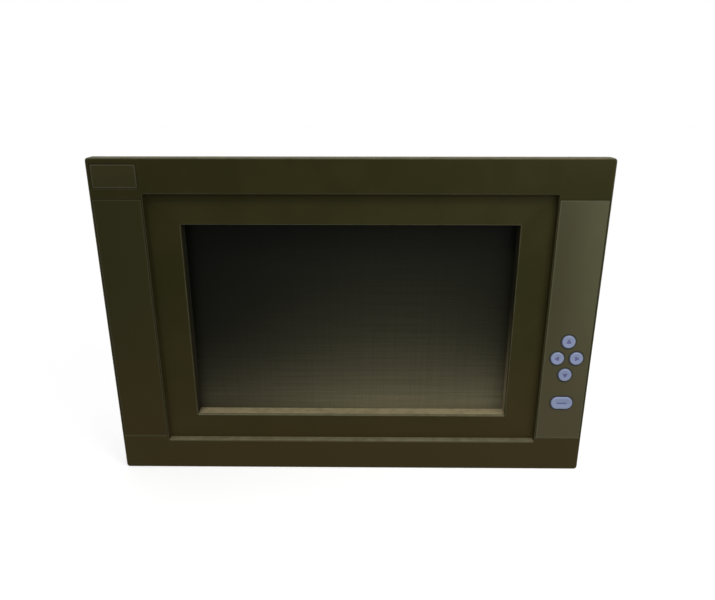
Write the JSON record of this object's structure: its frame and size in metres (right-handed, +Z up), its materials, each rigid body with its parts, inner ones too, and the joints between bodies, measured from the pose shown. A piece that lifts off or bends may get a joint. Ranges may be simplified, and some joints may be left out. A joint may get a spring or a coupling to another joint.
{
  "type": "hmi touch panel",
  "caption": "Landscape operator panel for a cabinet door, with a deep-set touch display in a mitred frame, a side strip of push keys, a vented rear case and screw clamps.",
  "frame": {"origin": "centre of the door cut-out, on the plane where the door's front face meets the gasket", "axes": "+X to the operator's right, +Y into the cabinet, +Z up"},
  "size_m": [0.33, 0.0641, 0.223],
  "materials": {
    "bezel_plastic": "fine matt grain",
    "overlay_film": "satin film",
    "badge_film": "satin film",
    "key_plastic": "satin",
    "seal_rubber": "matt",
    "lining_rubber": "matt",
    "silicone": "matt",
    "touch_glass": "anti-glare",
    "display_cell": "satin",
    "light_guide": "satin",
    "circuit_board": "satin",
    "flat_ribbon": "satin",
    "chip_plastic": "matt",
    "bare_aluminium": "extruded",
    "zinc_sheet": "zinc coated",
    "steel": "bright",
    "capacitor_sleeve": "satin",
    "terminal_plastic": "satin",
    "label_film": "satin",
    "brass": "bright"
  },
  "bodies": {
    "panel": {"front_bezel": "bezel_plastic", "left_overlay": "bezel_plastic", "keypad_overlay": "overlay_film", "badge_plate": "badge_film", "panel_gasket": "seal_rubber", "window_seal": "lining_rubber", "keypad_mat": "silicone", "touch_glass": "touch_glass", "lcd_cell": "display_cell", "lcd_light_guide": "light_guide", "keypad_board": "circuit_board", "main_board": "circuit_board", "keypad_ribbon": "flat_ribbon", "display_ribbon": "flat_ribbon", "processor": "chip_plastic", "heat_sink": "bare_aluminium", "rear_housing": "zinc_sheet", "chassis_plate": "zinc_sheet", "lcd_frame": "zinc_sheet", "serial_port": "zinc_sheet", "clamp_hook_1": "zinc_sheet", "clamp_hook_2": "zinc_sheet", "clamp_hook_3": "zinc_sheet", "clamp_hook_4": "zinc_sheet", "chassis_screw_1": "steel", "chassis_screw_2": "steel", "chassis_screw_3": "steel", "chassis_screw_4": "steel", "board_screw_1": "steel", "board_screw_2": "steel", "board_screw_3": "steel", "board_screw_4": "steel", "cover_screw_1": "steel", "cover_screw_2": "steel", "cover_screw_3": "steel", "cover_screw_4": "steel", "network_socket": "steel", "usb_socket": "steel", "coin_cell": "steel", "capacitor": "capacitor_sleeve", "power_header": "terminal_plastic", "rating_plate": "label_film", "earth_stud": "brass", "earth_nut": "brass"},
    "key_up": {"key_up": "key_plastic"},
    "key_left": {"key_left": "key_plastic"},
    "key_right": {"key_right": "key_plastic"},
    "key_down": {"key_down": "key_plastic"},
    "key_enter": {"key_enter": "key_plastic"},
    "clamp_foot_1": {"clamp_foot_1": "seal_rubber"},
    "clamp_screw_1": {"clamp_screw_1": "steel"},
    "clamp_foot_2": {"clamp_foot_2": "seal_rubber"},
    "clamp_screw_2": {"clamp_screw_2": "steel"},
    "clamp_foot_3": {"clamp_foot_3": "seal_rubber"},
    "clamp_screw_3": {"clamp_screw_3": "steel"},
    "clamp_foot_4": {"clamp_foot_4": "seal_rubber"},
    "clamp_screw_4": {"clamp_screw_4": "steel"},
    "power_plug": {"power_plug": "terminal_plastic", "terminal_screw_1": "steel", "terminal_screw_2": "steel"}
  },
  "joints": [
    {"name": "key_up_press", "type": "slide", "parent": "panel", "child": "key_up", "axis": [0, 1, 0], "range_m": [0, 0.0006], "stiffness_N_per_m": 400, "springref_m": -0.0012},
    {"name": "key_left_press", "type": "slide", "parent": "panel", "child": "key_left", "axis": [0, 1, 0], "range_m": [0, 0.0006], "stiffness_N_per_m": 400, "springref_m": -0.0012},
    {"name": "key_right_press", "type": "slide", "parent": "panel", "child": "key_right", "axis": [0, 1, 0], "range_m": [0, 0.0006], "stiffness_N_per_m": 400, "springref_m": -0.0012},
    {"name": "key_down_press", "type": "slide", "parent": "panel", "child": "key_down", "axis": [0, 1, 0], "range_m": [0, 0.0006], "stiffness_N_per_m": 400, "springref_m": -0.0012},
    {"name": "key_enter_press", "type": "slide", "parent": "panel", "child": "key_enter", "axis": [0, 1, 0], "range_m": [0, 0.0006], "stiffness_N_per_m": 400, "springref_m": -0.0012},
    {"name": "clamp_1_travel", "type": "slide", "parent": "panel", "child": "clamp_foot_1", "axis": [0, -1, 0], "range_m": [0, 0.0049]},
    {"name": "clamp_1_turn", "type": "hinge", "parent": "clamp_foot_1", "child": "clamp_screw_1", "pos_m": [-0.11, 0.0083, 0.1017], "axis": [0, -1, 0], "range_deg": [0, 2520]},
    {"name": "clamp_2_travel", "type": "slide", "parent": "panel", "child": "clamp_foot_2", "axis": [0, -1, 0], "range_m": [0, 0.0049]},
    {"name": "clamp_2_turn", "type": "hinge", "parent": "clamp_foot_2", "child": "clamp_screw_2", "pos_m": [0.11, 0.0083, 0.1017], "axis": [0, -1, 0], "range_deg": [0, 2520]},
    {"name": "clamp_3_travel", "type": "slide", "parent": "panel", "child": "clamp_foot_3", "axis": [0, -1, 0], "range_m": [0, 0.0049]},
    {"name": "clamp_3_turn", "type": "hinge", "parent": "clamp_foot_3", "child": "clamp_screw_3", "pos_m": [-0.11, 0.0083, -0.1017], "axis": [0, -1, 0], "range_deg": [0, 2520]},
    {"name": "clamp_4_travel", "type": "slide", "parent": "panel", "child": "clamp_foot_4", "axis": [0, -1, 0], "range_m": [0, 0.0049]},
    {"name": "clamp_4_turn", "type": "hinge", "parent": "clamp_foot_4", "child": "clamp_screw_4", "pos_m": [0.11, 0.0083, -0.1017], "axis": [0, -1, 0], "range_deg": [0, 2520]},
    {"name": "power_plug_slide", "type": "slide", "parent": "panel", "child": "power_plug", "axis": [0, 0, -1], "range_m": [0, 0.012]}
  ],
  "couplings": [
    {"joint": "clamp_1_turn", "follows": "clamp_1_travel", "rad_per_m": 8976},
    {"joint": "clamp_2_turn", "follows": "clamp_2_travel", "rad_per_m": 8976},
    {"joint": "clamp_3_turn", "follows": "clamp_3_travel", "rad_per_m": 8976},
    {"joint": "clamp_4_turn", "follows": "clamp_4_travel", "rad_per_m": 8976}
  ]
}
